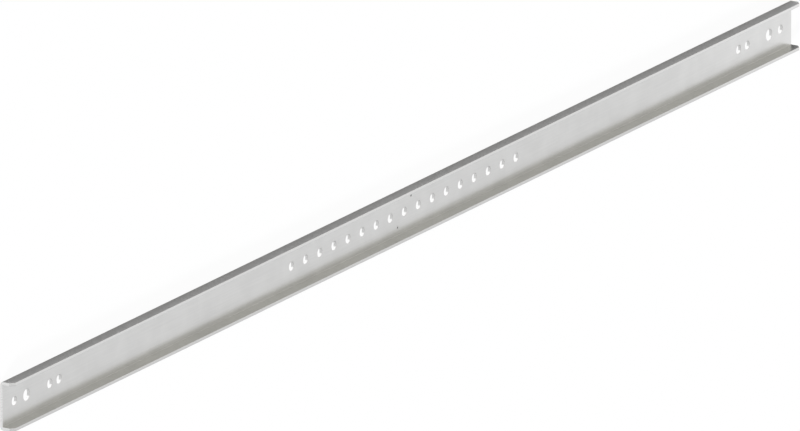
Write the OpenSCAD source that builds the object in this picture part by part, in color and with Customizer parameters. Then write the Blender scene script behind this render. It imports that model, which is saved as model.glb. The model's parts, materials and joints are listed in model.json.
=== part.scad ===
// Enclosure cross rail: a shallow U channel folded from one strip of zinc-coated sheet steel.
// It lies on the back of its web. X runs along the rail, Y across the web, and Z is up,
// towards the open side. The origin is in the middle of the rail, on the back of the web.

/* [Sheet] */
// Thickness of the sheet
sheet_thickness = 3; // [1.5:0.25:4]
// Inside radius of the two folds
fold_radius = 0.5; // [0.25:0.25:3]

/* [Rail] */
// Length from end to end
rail_length = 1404; // [1000:1:2400]
// Height of the web, measured over both flanges
web_height = 45; // [36:0.5:80]
// Depth of each flange, measured from the back of the web
flange_depth = 14; // [11:0.5:40]
// Leg of the 45 degree cut across each free corner of the flanges
corner_cut = 4; // [1:0.5:5]

/* [Middle row] */
// Number of holes in the evenly spaced row
row_count = 17; // [1:1:25]
// Distance between neighbouring holes of the row
row_pitch = 25; // [15:0.5:30]
// Diameter of the holes of the row
row_hole_d = 8.5; // [4:0.1:11]

/* [End holes] */
// Diameter of the three like holes near each end
end_hole_d = 8.5; // [4:0.1:11]
// Diameter of the one larger hole near each end
large_hole_d = 11; // [6:0.1:14]
// Distance of the outermost hole from its end of the rail
outer_inset = 20; // [10:0.5:25]
// Distance of the larger hole from its end of the rail
large_inset = 41; // [36:0.5:60]
// Distance of the close pair's first hole from its end of the rail
pair_inset = 81; // [75:0.5:120]
// Centre distance of the close pair
pair_pitch = 16; // [13:0.5:30]

/* [Marking holes] */
// Diameter of the two small holes that mark the middle of the rail
mark_hole_d = 2; // [1:0.1:3]
// Their distance from the middle, along the rail
mark_along = 12; // [10:0.5:20]
// Their distance from the middle, across the web
mark_across = 12; // [8:0.5:14]

/* [Hidden] */
$fn = 64;
// How far a cutting tool runs past the face that it breaks through
overrun = 1;
fold_outer_r = fold_radius + sheet_thickness;
row_half_length = (row_count - 1) * row_pitch / 2;
// Distance from the end of the rail, and diameter, of each hole near an end
end_holes = [
    [outer_inset, end_hole_d],
    [large_inset, large_hole_d],
    [pair_inset, end_hole_d],
    [pair_inset + pair_pitch, end_hole_d],
];

// Filled outline of a trough: flat across its top, with both lower corners round
module trough(width, depth, corner_r) {
    flat_width = width - 2 * corner_r;
    translate([-flat_width / 2, 0]) square([flat_width, depth]);
    translate([-width / 2, corner_r]) square([width, depth - corner_r]);
    for (side = [-1, 1])
        translate([side * flat_width / 2, corner_r]) circle(r = corner_r);
}

// Section of the folded sheet, seen along the rail
module channel_section() {
    difference() {
        trough(web_height, flange_depth, fold_outer_r);
        translate([0, sheet_thickness])
            trough(web_height - 2 * sheet_thickness, flange_depth, fold_radius);
    }
}

// Bar along Y that takes the free corner off both flanges at one end
module corner_cutter(side) {
    translate([side * rail_length / 2, 0, flange_depth])
        rotate([90, 0, 0])
            linear_extrude(web_height + 2 * overrun, center = true)
                rotate(45) square(corner_cut * sqrt(2), center = true);
}

// Punch for one round hole through the web
module punch(x, y, d) {
    translate([x, y, -overrun]) cylinder(d = d, h = sheet_thickness + 2 * overrun);
}

module middle_row() {
    for (i = [0 : row_count - 1])
        punch(i * row_pitch - row_half_length, 0, row_hole_d);
}

module end_group(side) {
    for (hole = end_holes)
        punch(side * (rail_length / 2 - hole[0]), 0, hole[1]);
}

// The two marking holes lie on one diagonal of the middle hole
module marking_pair() {
    for (side = [-1, 1])
        punch(side * mark_along, side * mark_across, mark_hole_d);
}

module cross_rail() {
    color([0.80, 0.81, 0.80])
        difference() {
            rotate([90, 0, 90])
                linear_extrude(rail_length, center = true) channel_section();
            for (side = [-1, 1]) {
                corner_cutter(side);
                end_group(side);
            }
            middle_row();
            marking_pair();
        }
}

cross_rail();
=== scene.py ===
import json
import math

import bmesh
import bpy
from mathutils import Matrix, Vector


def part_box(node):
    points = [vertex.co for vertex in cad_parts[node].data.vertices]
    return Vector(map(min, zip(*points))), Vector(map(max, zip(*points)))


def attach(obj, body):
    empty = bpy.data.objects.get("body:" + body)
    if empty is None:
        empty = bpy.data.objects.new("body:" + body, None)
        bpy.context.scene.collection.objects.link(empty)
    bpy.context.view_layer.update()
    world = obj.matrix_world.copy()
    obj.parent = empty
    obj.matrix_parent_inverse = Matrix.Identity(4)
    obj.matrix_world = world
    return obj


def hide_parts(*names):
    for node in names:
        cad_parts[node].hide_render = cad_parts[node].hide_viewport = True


# The rail is made again as one folded sheet with a zinc finish, in a studio for this view

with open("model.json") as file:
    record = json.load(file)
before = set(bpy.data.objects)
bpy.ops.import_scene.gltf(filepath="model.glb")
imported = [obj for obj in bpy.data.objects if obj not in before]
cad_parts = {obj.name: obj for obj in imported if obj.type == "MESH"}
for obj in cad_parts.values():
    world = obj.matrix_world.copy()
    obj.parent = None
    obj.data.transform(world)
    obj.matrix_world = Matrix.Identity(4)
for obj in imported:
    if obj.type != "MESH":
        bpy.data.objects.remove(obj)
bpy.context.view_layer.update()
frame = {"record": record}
scene = bpy.context.scene

# Sizes of the rail, in metres: the frame gives what it knows, the rest is named here
MM = 0.001
RAIL = "cross_rail"
RAIL_LOW, RAIL_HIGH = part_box(RAIL)
LENGTH, HEIGHT, DEPTH = RAIL_HIGH - RAIL_LOW
BORES = {m["name"]: m for m in frame["record"]["mounts"] if m["kind"] == "bore"}
SHEET = BORES["row_first_hole"]["dims"]["length_mm"] * MM
FOLD_INNER_R = 0.5 * MM
FOLD_OUTER_R = FOLD_INNER_R + SHEET
CORNER_CUT = 4 * MM
ROW_PITCH = 25 * MM
MARK_R = 1 * MM
MARK_ALONG = 12 * MM
MARK_ACROSS = 12 * MM

# Sharp edges are those that turn by more than this, and they are broken in a few steps
EDGE_TURN = math.radians(40)
EDGE_BREAK = 0.2 * MM
EDGE_STEPS = 2

# Shearing leaves the outer edge of a flange's tip this much lower than the inner one
TIP_LEAN = 0.08 * MM

# The blank before folding: x runs along the rail, s across it on the outer face
WEB_FLAT = HEIGHT - 2 * FOLD_OUTER_R
FOLD_ARC = FOLD_OUTER_R * math.pi / 2
BLANK_HALF_X = LENGTH / 2
BLANK_HALF_S = WEB_FLAT / 2 + FOLD_ARC + DEPTH - FOLD_OUTER_R
FOLD_STEPS = 8

# Mesh cell round a hole: half its width and the steps along each of its sides.
# The rim of the hole is divided from the angle of the cell's lowest corner on.
HOLE_CELL = (7.5 * MM, 10)
MARK_CELL = (2.5 * MM, 6)
RIM_START_DEGREES = 225

# Points that agree to so many digits of a metre are one, and what is this near counts as there
PLACE_DIGITS = 7
NEAR = 0.01 * MM

# Material slots of the mesh
ZINC_SLOT = 0
CUT_SLOT = 1

# Zinc finish: grain drawn along the rail by rolling, and soft clouds in the coating
GRAIN_PER_M = (14, 900, 900)
CLOUDS_PER_M = (45, 45, 45)
ZINC_STOPS = (0.3, (0.69, 0.69, 0.688, 1)), (0.7, (0.75, 0.75, 0.748, 1))
ZINC_ROUGHNESS = (0.28, 0.35)
GRAIN_HEIGHT = 0.004 * MM

# Cut edges: bare steel, with shear marks that run through the thickness of the sheet
SHEAR_PER_M = (1100, 1100, 70)
CUT_STOPS = (0.3, (0.70, 0.70, 0.696, 1)), (0.7, (0.755, 0.755, 0.751, 1))
CUT_ROUGHNESS = (0.24, 0.32)
SHEAR_HEIGHT = 0.01 * MM

# Noise of both metals: its detail, the span in which it mostly lies, and how much of the
# tint the grain has beside the clouds
NOISE_DETAIL = 3
NOISE_SPAN = (0.3, 0.7)
GRAIN_SHARE = 0.5

# Studio: a dome whose brightness changes across the rail, and a soft sun for the floor.
# The stops of each half run from 0, facing away from its side, to 1, facing towards it.
# The camera itself sees the dome as plain white.
WHITE = (1, 1, 1, 1)
DOME_TOWARDS = (0, 1, 0)
DOME_STOPS = (
    (0.225, (0.39, 0.39, 0.39, 1)),
    (0.425, (1.10, 1.10, 1.10, 1)),
    (0.575, (0.65, 0.641, 0.59, 1)),
)
BELOW_TOWARDS = (0.5, 0.866, 0)
BELOW_STOPS = (
    (0.45, (0.80, 0.80, 0.80, 1)),
    (0.575, (1.45, 1.45, 1.45, 1)),
)
SUN_FROM = (-0.80, -0.46, 0.40)
SUN_STRENGTH = 6.5
SUN_SPREAD = math.radians(12)

# Floor with a slot under the web, through which the walls of the holes mirror the dome's
# lower half. The slot's long edges lie under the marking holes.
FLOOR_SIZE = 80
SLOT_INSET = 10 * MM
SLOT_X = (RAIL_LOW.x + SLOT_INSET, RAIL_HIGH.x - SLOT_INSET)
SLOT_Y = (-MARK_ACROSS, MARK_ACROSS)

# The floor glows by a share for each kind of ray, and is lit by the rest. For the camera
# the two come to white, and the lit part takes the shadow.
FLOOR_COLOR = (0.40, 0.40, 0.415, 1)
FLOOR_GLOW = 1.03
GLOW_SHARES = {"Is Camera Ray": 0.93, "Is Glossy Ray": 0.08, "Is Transmission Ray": 0.9}

# Two glowing cards on the floor that only the metal mirrors, as painted reflections: a white one
# before the left end, a painted highlight on its cut face, and a dark one past the right end,
# painted shade on the tip of the lower flange
CARD_LIFT = 0.02 * MM
PAINTED_HIGHLIGHT_CARD_X = (RAIL_LOW.x - 60 * MM, RAIL_LOW.x - 0.1 * MM)
PAINTED_HIGHLIGHT_CARD_Y = (-40 * MM, 30 * MM)
PAINTED_HIGHLIGHT_CARD_GLOW = 1.0
# The dark card paints shade into what the tip of the lower flange mirrors
PAINTED_SHADE_CARD_X = (RAIL_HIGH.x + 0.5 * MM, RAIL_HIGH.x + 24 * MM)
PAINTED_SHADE_CARD_Y = (-22 * MM, -6 * MM)
PAINTED_SHADE_CARD_GLOW = 0.13

# Dim lamp past the right end, on the line along which the web there mirrors the view
LAMP_INSET = 18 * MM
LAMP_OVER = Vector((RAIL_HIGH.x - LAMP_INSET, 0, SHEET))
LAMP_TOWARDS = Vector((0.826, -0.286, 0.486))
LAMP_DISTANCE = 240 * MM
LAMP_SIZE = 160 * MM
LAMP_POWER = 0.010

# The photograph's camera. In its picture the rail stands on its lower flange, with +Y up.
# The picture has this width at the rail's middle, and its centre is so far right of and above it.
# The lens is long, because the photograph is a parallel view.
VIEW_TURN = math.radians(59.5)
VIEW_RISE = math.radians(16.6)
VIEW_WIDTH = 723.12 * MM
VIEW_AIM = (-1.38 * MM, -3.97 * MM)
IMAGE_SIZE = (800, 431)
LENS_MM = 925
SENSOR_HEIGHT_MM = 11.7


def steps(low, high, count):
    """Evenly spaced values from low to high, both included."""
    return [low + (high - low) * i / count for i in range(count + 1)]


def mount_hole(mount):
    """(x, s, radius) of a hole that the record states as a bore."""
    return mount["pos_m"][0], mount["pos_m"][1], mount["dims"]["r_mm"] * MM


def row_holes():
    """The evenly spaced row, from its first to its last hole, which the record states."""
    first_x, row_s, radius = mount_hole(BORES["row_first_hole"])
    last_x = BORES["row_last_hole"]["pos_m"][0]
    count = round((last_x - first_x) / ROW_PITCH)
    return [(x, row_s, radius) for x in steps(first_x, last_x, count)]


def end_holes():
    """The holes near the ends, each of which the record states."""
    return [mount_hole(m) for name, m in BORES.items() if not name.startswith("row_")]


def marking_holes():
    """The two small holes on one diagonal of the middle hole."""
    return [(side * MARK_ALONG, side * MARK_ACROSS, MARK_R) for side in (-1, 1)]


def folded(x, s):
    """Place of the blank's point (x, s) on the outer face of the folded rail."""
    side = math.copysign(1, s)
    past_web = max(abs(s) - WEB_FLAT / 2, 0)
    turn = min(past_web, FOLD_ARC) / FOLD_OUTER_R
    flat = min(abs(s), WEB_FLAT / 2)
    y = side * (flat + FOLD_OUTER_R * math.sin(turn))
    z = FOLD_OUTER_R * (1 - math.cos(turn)) + max(past_web - FOLD_ARC, 0)
    return x, y, z


class Blank:
    """The punched sheet as one layer of mesh: a grid with a ring of faces round every hole."""

    def __init__(self, cells):
        self.bm = bmesh.new()
        self.places = {}
        self.cells = cells
        self.xs = self.grid_lines(0, BLANK_HALF_X, [])
        bend = [WEB_FLAT / 2 + arc for arc in steps(0, FOLD_ARC, FOLD_STEPS)]
        self.ss = self.grid_lines(1, BLANK_HALF_S, bend + [-s for s in bend])

    def grid_lines(self, axis, half, extra):
        """Where the grid's lines lie on one axis: at the edges, cuts, cells and extra places."""
        lines = [-half, CORNER_CUT - half, half - CORNER_CUT, half, *extra]
        for hole, (reach, count) in self.cells:
            lines += steps(hole[axis] - reach, hole[axis] + reach, count)
        return sorted({round(value, PLACE_DIGITS) for value in lines})

    def vert(self, x, s):
        """The vertex for a point of the blank, made when the point first comes up."""
        key = round(x, PLACE_DIGITS), round(s, PLACE_DIGITS)
        if key not in self.places:
            self.places[key] = self.bm.verts.new(folded(x, s))
        return self.places[key]

    def face(self, *points):
        self.bm.faces.new([self.vert(*point) for point in points])

    def in_cell(self, x, s):
        """True for a point in the cell of a hole."""
        return any(
            abs(x - hole[0]) < reach and abs(s - hole[1]) < reach
            for hole, (reach, _) in self.cells
        )

    def cut_off(self, x, s):
        """True for the four corners of the blank, which are clipped."""
        return BLANK_HALF_X - abs(x) + BLANK_HALF_S - abs(s) < NEAR

    def add_grid(self):
        """Faces between the grid's lines, without the cells and the clipped corners."""
        for x0, x1 in zip(self.xs, self.xs[1:]):
            for s0, s1 in zip(self.ss, self.ss[1:]):
                if self.in_cell((x0 + x1) / 2, (s0 + s1) / 2):
                    continue
                corners = [(x0, s0), (x1, s0), (x1, s1), (x0, s1)]
                kept = [point for point in corners if not self.cut_off(*point)]
                self.face(*kept)

    def add_ring(self, hole, reach):
        """Faces from the outline of a hole's cell to the hole's rim."""
        x, s, radius = hole
        columns = [v for v in self.xs if abs(v - x) < reach + NEAR]
        rows = [v for v in self.ss if abs(v - s) < reach + NEAR]
        outer = [(v, rows[0]) for v in columns[:-1]]
        outer += [(columns[-1], v) for v in rows[:-1]]
        outer += [(v, rows[-1]) for v in columns[:0:-1]]
        outer += [(columns[0], v) for v in rows[:0:-1]]
        count = len(outer)
        angles = [math.radians(RIM_START_DEGREES + 360 * i / count) for i in range(count)]
        inner = [(x + radius * math.cos(a), s + radius * math.sin(a)) for a in angles]
        for i in range(count):
            after = (i + 1) % count
            self.face(outer[i], outer[after], inner[after], inner[i])

    def mesh(self, name):
        """The whole blank, folded, as mesh data."""
        self.add_grid()
        for hole, (reach, _) in self.cells:
            self.add_ring(hole, reach)
        bmesh.ops.recalc_face_normals(self.bm, faces=self.bm.faces)
        data = bpy.data.meshes.new(name)
        self.bm.to_mesh(data)
        self.bm.free()
        return data


def thicken(rail):
    """Gives the sheet its thickness, inwards, with the cut metal on its rims."""
    sheet = rail.modifiers.new("sheet", "SOLIDIFY")
    sheet.thickness = SHEET
    sheet.offset = -1
    sheet.use_even_offset = True
    sheet.use_quality_normals = True
    sheet.material_offset_rim = CUT_SLOT - ZINC_SLOT


def lean_tips(rail):
    """Applies the thickness, then lowers the outer edge of the tips of both flanges."""
    depsgraph = bpy.context.evaluated_depsgraph_get()
    data = bpy.data.meshes.new_from_object(rail.evaluated_get(depsgraph))
    for vertex in data.vertices:
        at_tip = vertex.co.z > DEPTH - NEAR
        outside = abs(vertex.co.y) > HEIGHT / 2 - NEAR
        if at_tip and outside:
            vertex.co.z -= TIP_LEAN
    rail.modifiers.clear()
    rail.data = data


def break_edges(rail):
    """Rounds the sharp edges, with zinc on them, and keeps the shading of flat faces flat."""
    soften = rail.modifiers.new("edge_break", "BEVEL")
    soften.width = EDGE_BREAK
    soften.segments = EDGE_STEPS
    soften.limit_method = "ANGLE"
    soften.angle_limit = EDGE_TURN
    soften.material = ZINC_SLOT
    rail.modifiers.new("even_shade", "WEIGHTED_NORMAL")


def make_rail(zinc, cut):
    """The punched, clipped and folded sheet, in the place of the plain solid."""
    cells = [(hole, HOLE_CELL) for hole in row_holes() + end_holes()]
    cells += [(hole, MARK_CELL) for hole in marking_holes()]
    data = Blank(cells).mesh("folded_rail")
    for polygon in data.polygons:
        polygon.use_smooth = True
    for material in (zinc, cut):
        data.materials.append(material)
    rail = bpy.data.objects.new("folded_rail", data)
    scene.collection.objects.link(rail)
    thicken(rail)
    lean_tips(rail)
    break_edges(rail)
    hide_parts(RAIL)
    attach(rail, "root")


def add_node(tree, kind, values=(), **settings):
    """A new shader node with the given settings and (socket, value) pairs."""
    node = tree.nodes.new("ShaderNode" + kind)
    for name, value in settings.items():
        setattr(node, name, value)
    for socket, value in values:
        node.inputs[socket].default_value = value
    return node


def add_ramp(tree, value, stops):
    """Colour that eases from stop to stop, each a (value, colour), as the value rises."""
    ramp = add_node(tree, "ValToRGB")
    ramp.color_ramp.interpolation = "EASE"
    elements = ramp.color_ramp.elements
    elements.remove(elements[1])
    for position, color in stops[1:]:
        elements.new(position).color = color
    elements[0].position, elements[0].color = stops[0]
    tree.links.new(value, ramp.inputs["Fac"])
    return ramp.outputs["Color"]


def add_range(tree, value, span, target):
    """Number that goes through the target while the value crosses the span."""
    ends = zip(("From Min", "From Max", "To Min", "To Max"), (*span, *target))
    spread = add_node(tree, "MapRange", ends)
    tree.links.new(value, spread.inputs["Value"])
    return spread.outputs["Result"]


def add_noise(tree, per_metre):
    """Noise in the rail's own frame, with so many features to the metre along each axis."""
    place = add_node(tree, "TexCoord")
    stretch = add_node(tree, "Mapping", [("Scale", per_metre)])
    noise = add_node(tree, "TexNoise", [("Scale", 1), ("Detail", NOISE_DETAIL)])
    tree.links.new(place.outputs["Object"], stretch.inputs["Vector"])
    tree.links.new(stretch.outputs["Vector"], noise.inputs["Vector"])
    return noise.outputs["Fac"]


def make_metal(name, stops, roughness, clouds_per_m, grain_per_m, grain_height):
    """Bare metal: clouds and grain tint it, and the grain sets its roughness and fine relief."""
    material = bpy.data.materials.new(name)
    material.use_nodes = True
    tree = material.node_tree
    shader = tree.nodes["Principled BSDF"]
    shader.inputs["Metallic"].default_value = 1
    grain = add_noise(tree, grain_per_m)
    tint = add_node(tree, "Mix", [("Factor", GRAIN_SHARE)])
    relief = add_node(tree, "Bump", [("Distance", grain_height)])
    tree.links.new(add_noise(tree, clouds_per_m), tint.inputs["A"])
    tree.links.new(grain, tint.inputs["B"])
    tree.links.new(add_ramp(tree, tint.outputs["Result"], stops), shader.inputs["Base Color"])
    tree.links.new(add_range(tree, grain, NOISE_SPAN, roughness), shader.inputs["Roughness"])
    tree.links.new(grain, relief.inputs["Height"])
    tree.links.new(relief.outputs["Normal"], shader.inputs["Normal"])
    return material


def make_zinc():
    return make_metal(
        "zinc_sheet", ZINC_STOPS, ZINC_ROUGHNESS, CLOUDS_PER_M, GRAIN_PER_M, GRAIN_HEIGHT
    )


def make_cut():
    return make_metal(
        "cut_edge", CUT_STOPS, CUT_ROUGHNESS, SHEAR_PER_M, SHEAR_PER_M, SHEAR_HEIGHT
    )


def make_flat(name, xs, ys, height, left_out=None):
    """Level sheet of the cells between the x and y lines, apart from the one left out."""
    bm = bmesh.new()
    rows = [[bm.verts.new((x, y, height)) for x in xs] for y in ys]
    for j in range(len(ys) - 1):
        for i in range(len(xs) - 1):
            if (i, j) != left_out:
                bm.faces.new((rows[j][i], rows[j][i + 1], rows[j + 1][i + 1], rows[j + 1][i]))
    data = bpy.data.meshes.new(name)
    bm.to_mesh(data)
    bm.free()
    flat = bpy.data.objects.new(name, data)
    scene.collection.objects.link(flat)
    material = bpy.data.materials.new(name)
    material.use_nodes = True
    material.node_tree.nodes.remove(material.node_tree.nodes["Principled BSDF"])
    data.materials.append(material)
    return flat, material.node_tree


def make_floor():
    """Pale floor that glows by its share for each kind of ray and still takes the shadow."""
    half = FLOOR_SIZE / 2
    slot_cell = (1, 1)
    _, tree = make_flat("floor", (-half, *SLOT_X, half), (-half, *SLOT_Y, half), 0, slot_cell)
    plain = add_node(tree, "BsdfDiffuse", [("Color", FLOOR_COLOR)])
    glow = add_node(tree, "Emission", [("Strength", FLOOR_GLOW)])
    path = add_node(tree, "LightPath")
    mix = add_node(tree, "MixShader")
    # Each kind of ray times its share, added up from node to node
    target = mix.inputs[0]
    for ray, share in GLOW_SHARES.items():
        add = add_node(tree, "Math", [(1, share), (2, 0)], operation="MULTIPLY_ADD")
        tree.links.new(path.outputs[ray], add.inputs[0])
        tree.links.new(add.outputs[0], target)
        target = add.inputs[2]
    tree.links.new(plain.outputs[0], mix.inputs[1])
    tree.links.new(glow.outputs[0], mix.inputs[2])
    tree.links.new(mix.outputs[0], tree.nodes["Material Output"].inputs["Surface"])


def make_painted_reflection_card(name, xs, ys, strength):
    """Glowing sheet on the floor that only the metal sees, as a painted reflection, and that
    takes no light away.
    """
    card, tree = make_flat(name, xs, ys, CARD_LIFT)
    card.visible_camera = False
    card.visible_diffuse = False
    card.visible_shadow = False
    glow = add_node(tree, "Emission", [("Strength", strength)])
    tree.links.new(glow.outputs[0], tree.nodes["Material Output"].inputs["Surface"])


def add_lamp(name, kind, power, towards):
    """Lamp that stands towards one side of what it lights, and shines back from there."""
    data = bpy.data.lights.new(name, kind)
    data.energy = power
    lamp = bpy.data.objects.new(name, data)
    lamp.rotation_mode = "QUATERNION"
    lamp.rotation_quaternion = Vector(towards).to_track_quat("Z", "Y")
    scene.collection.objects.link(lamp)
    return lamp


def make_sun():
    """Lights the floor. The metal doesn't mirror it, so it leaves no glints there."""
    sun = add_lamp("sun", "SUN", SUN_STRENGTH, SUN_FROM)
    sun.data.angle = SUN_SPREAD
    sun.visible_glossy = False


def make_end_lamp():
    """Dim square lamp for the web near its right end, where the photograph brightens."""
    lamp = add_lamp("end_lamp", "AREA", LAMP_POWER, LAMP_TOWARDS)
    lamp.data.size = LAMP_SIZE
    lamp.location = LAMP_OVER + LAMP_TOWARDS * LAMP_DISTANCE
    lamp.visible_camera = False


def add_dome_half(tree, direction, towards, stops):
    """Background whose colour changes with how far a direction leans towards one side."""
    lean = add_node(tree, "VectorMath", [(1, towards)], operation="DOT_PRODUCT")
    tree.links.new(direction, lean.inputs[0])
    across = add_range(tree, lean.outputs["Value"], (-1, 1), (0, 1))
    half = add_node(tree, "Background")
    tree.links.new(add_ramp(tree, across, stops), half.inputs["Color"])
    return half.outputs[0]


def make_dome():
    """World with an upper and a lower half, behind a plain white that only the camera sees."""
    world = bpy.data.worlds.new("studio")
    scene.world = world
    world.use_nodes = True
    tree = world.node_tree
    tree.nodes.remove(tree.nodes["Background"])
    direction = add_node(tree, "TexCoord").outputs["Generated"]
    axes = add_node(tree, "SeparateXYZ")
    above = add_node(tree, "Math", [(1, 0)], operation="GREATER_THAN")
    dome = add_node(tree, "MixShader")
    tree.links.new(direction, axes.inputs[0])
    tree.links.new(axes.outputs["Z"], above.inputs[0])
    tree.links.new(above.outputs[0], dome.inputs[0])
    tree.links.new(add_dome_half(tree, direction, BELOW_TOWARDS, BELOW_STOPS), dome.inputs[1])
    tree.links.new(add_dome_half(tree, direction, DOME_TOWARDS, DOME_STOPS), dome.inputs[2])
    path = add_node(tree, "LightPath")
    backdrop = add_node(tree, "Background", [("Color", WHITE)])
    seen = add_node(tree, "MixShader")
    tree.links.new(path.outputs["Is Camera Ray"], seen.inputs[0])
    tree.links.new(dome.outputs[0], seen.inputs[1])
    tree.links.new(backdrop.outputs[0], seen.inputs[2])
    tree.links.new(seen.outputs[0], tree.nodes["World Output"].inputs["Surface"])


def make_camera():
    """Camera at the photograph's angle, as far off as its lens needs for the same width."""
    turn, rise = VIEW_TURN, VIEW_RISE
    right = Vector((math.cos(turn), 0, math.sin(turn)))
    back = Vector((
        -math.sin(turn) * math.cos(rise),
        math.sin(rise),
        math.cos(turn) * math.cos(rise),
    ))
    up = back.cross(right)
    data = bpy.data.cameras.new("camera")
    data.lens = LENS_MM
    data.sensor_fit = "VERTICAL"
    data.sensor_height = SENSOR_HEIGHT_MM
    camera = bpy.data.objects.new("camera", data)
    scene.collection.objects.link(camera)
    view_height = VIEW_WIDTH * IMAGE_SIZE[1] / IMAGE_SIZE[0]
    distance = view_height * LENS_MM / SENSOR_HEIGHT_MM
    place = right * VIEW_AIM[0] + up * VIEW_AIM[1] + back * distance
    axes = Matrix((right, up, back)).transposed()
    camera.matrix_world = Matrix.Translation(place) @ axes.to_4x4()
    scene.camera = camera


make_camera()
make_rail(make_zinc(), make_cut())
make_floor()
make_dome()
make_sun()
# Painted highlight: a white glowing card, mirrored only by the metal, on the left end's cut face
make_painted_reflection_card("white_card", PAINTED_HIGHLIGHT_CARD_X, PAINTED_HIGHLIGHT_CARD_Y, PAINTED_HIGHLIGHT_CARD_GLOW)
# Painted shade: a dark glowing card, mirrored only by the metal, on the tip of the lower flange
make_painted_reflection_card("dark_card", PAINTED_SHADE_CARD_X, PAINTED_SHADE_CARD_Y, PAINTED_SHADE_CARD_GLOW)
make_end_lamp()
scene.view_settings.view_transform = "Standard"
